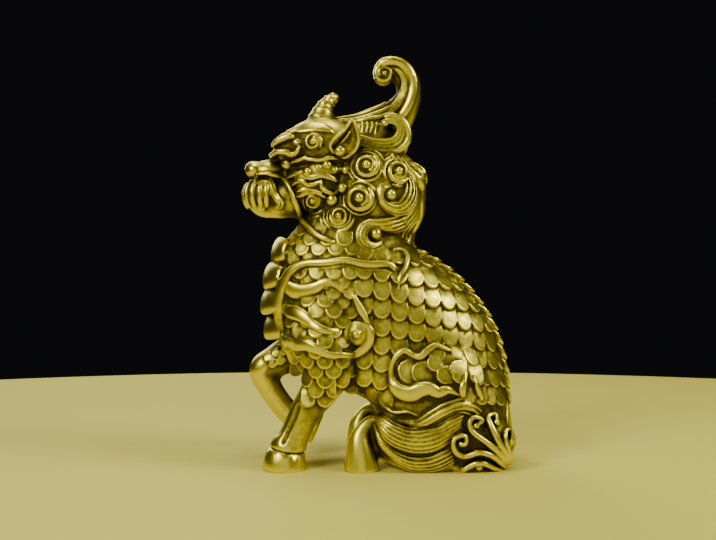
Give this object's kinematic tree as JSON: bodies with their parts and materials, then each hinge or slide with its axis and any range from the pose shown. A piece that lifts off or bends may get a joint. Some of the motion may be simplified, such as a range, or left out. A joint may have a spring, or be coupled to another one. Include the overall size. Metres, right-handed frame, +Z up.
{
  "type": "qilin figure",
  "caption": "Seated qilin cast in brass, scaled body, curled mane, horn and swept crest, one foreleg raised, flat underside.",
  "frame": {"origin": "middle of the figure's plan, on the surface it stands on", "axes": "+Z up, the figure faces -X, its left side with the planted foreleg is towards -Y"},
  "size_m": [0.056, 0.0306, 0.0851],
  "materials": {
    "antique_brass": "antiqued cast brass, satin and yellow on the raised carving, dark olive brown in the hollows"
  },
  "bodies": {
    "root": {"qilin_figure": "antique_brass"}
  },
  "joints": []
}
